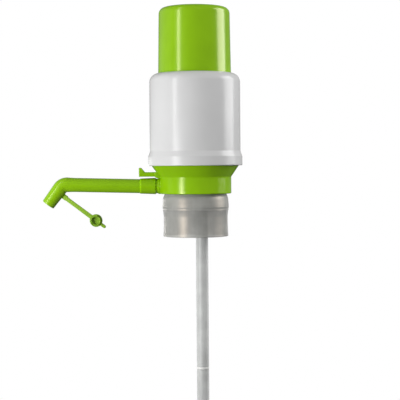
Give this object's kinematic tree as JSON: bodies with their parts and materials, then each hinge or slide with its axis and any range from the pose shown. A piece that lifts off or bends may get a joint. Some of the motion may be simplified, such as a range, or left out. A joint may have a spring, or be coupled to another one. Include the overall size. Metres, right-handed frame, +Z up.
{
  "type": "water jug hand pump",
  "caption": "Press-cap bellows pump with a clamp-on neck skirt, bent side spout with a strap stopper, relief lever and long dip tube.",
  "frame": {"origin": "on the axis of the jug neck's socket, in the plane where the jug's lip seals", "axes": "+Z up along the pump's axis; the spout points along -X; the stopper's strap is on the -Y side"},
  "size_m": [0.1797, 0.0846, 0.6509],
  "materials": {
    "lime_plastic": "glossy moulded lime green",
    "lime_soft": "soft satin lime green",
    "shell_plastic": "glossy light grey-white",
    "white_plastic": "moulded white",
    "clear_skirt": "milky translucent",
    "clear_tube": "milky translucent tube",
    "bellows_rubber": "soft moulded pale grey",
    "soft_seal": "soft pale silicone",
    "black_rubber": "black seal",
    "steel": "plain steel"
  },
  "bodies": {
    "base": {"neck_adaptor": "clear_skirt", "neck_gasket": "soft_seal", "adaptor_nut": "white_plastic", "base_collar": "lime_plastic", "water_manifold": "white_plastic", "manifold_o_ring": "black_rubber", "valve_plate": "white_plastic", "air_duct_seal": "black_rubber", "plate_screws": "steel", "delivery_duckbill": "soft_seal", "intake_cage": "white_plastic", "bellows": "bellows_rubber", "bellows_clamp_ring": "white_plastic", "body_shell": "shell_plastic", "spout_coupling": "lime_plastic", "coupling_seal": "black_rubber", "lever_pin": "lime_plastic", "relief_spring": "steel", "dip_tube_upper": "clear_tube", "dip_tube_middle": "clear_tube", "dip_tube_lower": "clear_tube", "tube_connector_upper": "white_plastic", "tube_connector_lower": "white_plastic", "tube_foot": "white_plastic"},
    "press_cap": {"press_cap": "lime_plastic"},
    "intake_disc": {"intake_disc": "soft_seal"},
    "relief_lever": {"relief_lever": "lime_plastic", "relief_pad": "black_rubber"},
    "spout": {"spout_tube": "lime_plastic", "spout_seal": "black_rubber"},
    "stopper": {"stopper_strap": "lime_soft"}
  },
  "joints": [
    {"name": "cap_press", "type": "slide", "parent": "base", "child": "press_cap", "axis": [0, 0, -1], "range_m": [0, 0.048], "stiffness_N_per_m": 500, "springref_m": -0.01, "deforming": ["bellows"]},
    {"name": "intake_lift", "type": "slide", "parent": "base", "child": "intake_disc", "axis": [0, 0, 1], "range_m": [0, 0.0013]},
    {"name": "lever_tilt", "type": "hinge", "parent": "base", "child": "relief_lever", "pos_m": [-0.0338, 0, 0.0314], "axis": [0, -1, 0], "range_deg": [0, 6], "stiffness_Nm_per_rad": 0.05, "springref_deg": -17.19, "deforming": ["relief_spring"]},
    {"name": "spout_swivel", "type": "hinge", "parent": "base", "child": "spout", "pos_m": [-0.0503, 0, 0.0213], "axis": [1, 0, 0], "range_deg": [-90, 90]},
    {"name": "stopper_swing", "type": "hinge", "parent": "spout", "child": "stopper", "pos_m": [-0.11664, 0, 0.01118], "axis": [0, 1, 0], "range_deg": [-30, 60]}
  ]
}
